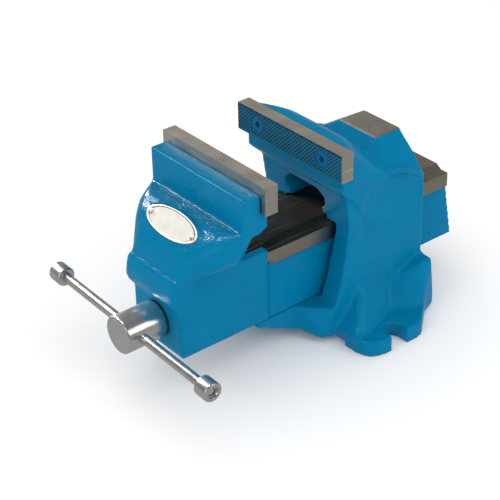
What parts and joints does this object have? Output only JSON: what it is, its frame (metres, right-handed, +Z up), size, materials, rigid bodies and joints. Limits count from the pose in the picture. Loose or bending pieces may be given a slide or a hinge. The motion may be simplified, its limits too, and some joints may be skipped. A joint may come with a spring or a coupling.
{
  "type": "bench vise",
  "caption": "Bench vise with a sliding front jaw on a flanged box slide, a spindle with a sliding tommy bar, a rear anvil and open bolt lugs.",
  "frame": {"origin": "on the bench face, midway between the two bolt slots", "axes": "+Z up, +Y towards the anvil and away from the handle, +X to the operator's right; the jaw opens along -Y"},
  "size_m": [0.1642, 0.2624, 0.14],
  "materials": {
    "blue_paint": "glossy painted casting, ground where it slides",
    "ground_steel": "surface ground",
    "plated_steel": "bright plated, turned",
    "dark_steel": "oiled black",
    "nut_bronze": "as machined",
    "ivory_enamel": "enamelled plate"
  },
  "bodies": {
    "vise_base": {"fixed_jaw_body": "blue_paint", "fixed_jaw_plate": "ground_steel", "fixed_plate_screw_left": "ground_steel", "fixed_plate_screw_right": "ground_steel", "spindle_nut": "nut_bronze", "nut_bolt": "dark_steel", "nut_bolt_washer": "dark_steel", "nut_dowel": "plated_steel"},
    "sliding_jaw": {"moving_jaw_body": "blue_paint", "moving_jaw_plate": "ground_steel", "moving_plate_screw_left": "ground_steel", "moving_plate_screw_right": "ground_steel", "name_badge": "ivory_enamel", "badge_rivet_left": "plated_steel", "badge_rivet_right": "plated_steel", "thrust_washer": "dark_steel", "spring_cup_washer": "dark_steel"},
    "spindle_assembly": {"spindle": "plated_steel", "spindle_spring": "dark_steel", "spring_collar": "dark_steel", "collar_pin": "plated_steel"},
    "handle": {"tommy_bar": "plated_steel", "handle_knob_left": "plated_steel", "handle_knob_right": "plated_steel"}
  },
  "joints": [
    {"name": "jaw_slide", "type": "slide", "parent": "vise_base", "child": "sliding_jaw", "axis": [0, -1, 0], "range_m": [-0.0497, 0.05]},
    {"name": "screw_turn", "type": "hinge", "parent": "sliding_jaw", "child": "spindle_assembly", "pos_m": [0, -0.156, 0.045], "axis": [0, -1, 0], "range_deg": [-3600, 3601]},
    {"name": "handle_slide", "type": "slide", "parent": "spindle_assembly", "child": "handle", "axis": [0.9996, 0, -0.0297], "range_m": [-0.0569, 0.0599]}
  ],
  "couplings": [
    {"joint": "screw_turn", "follows": "jaw_slide", "rad_per_m": 1256.6}
  ]
}
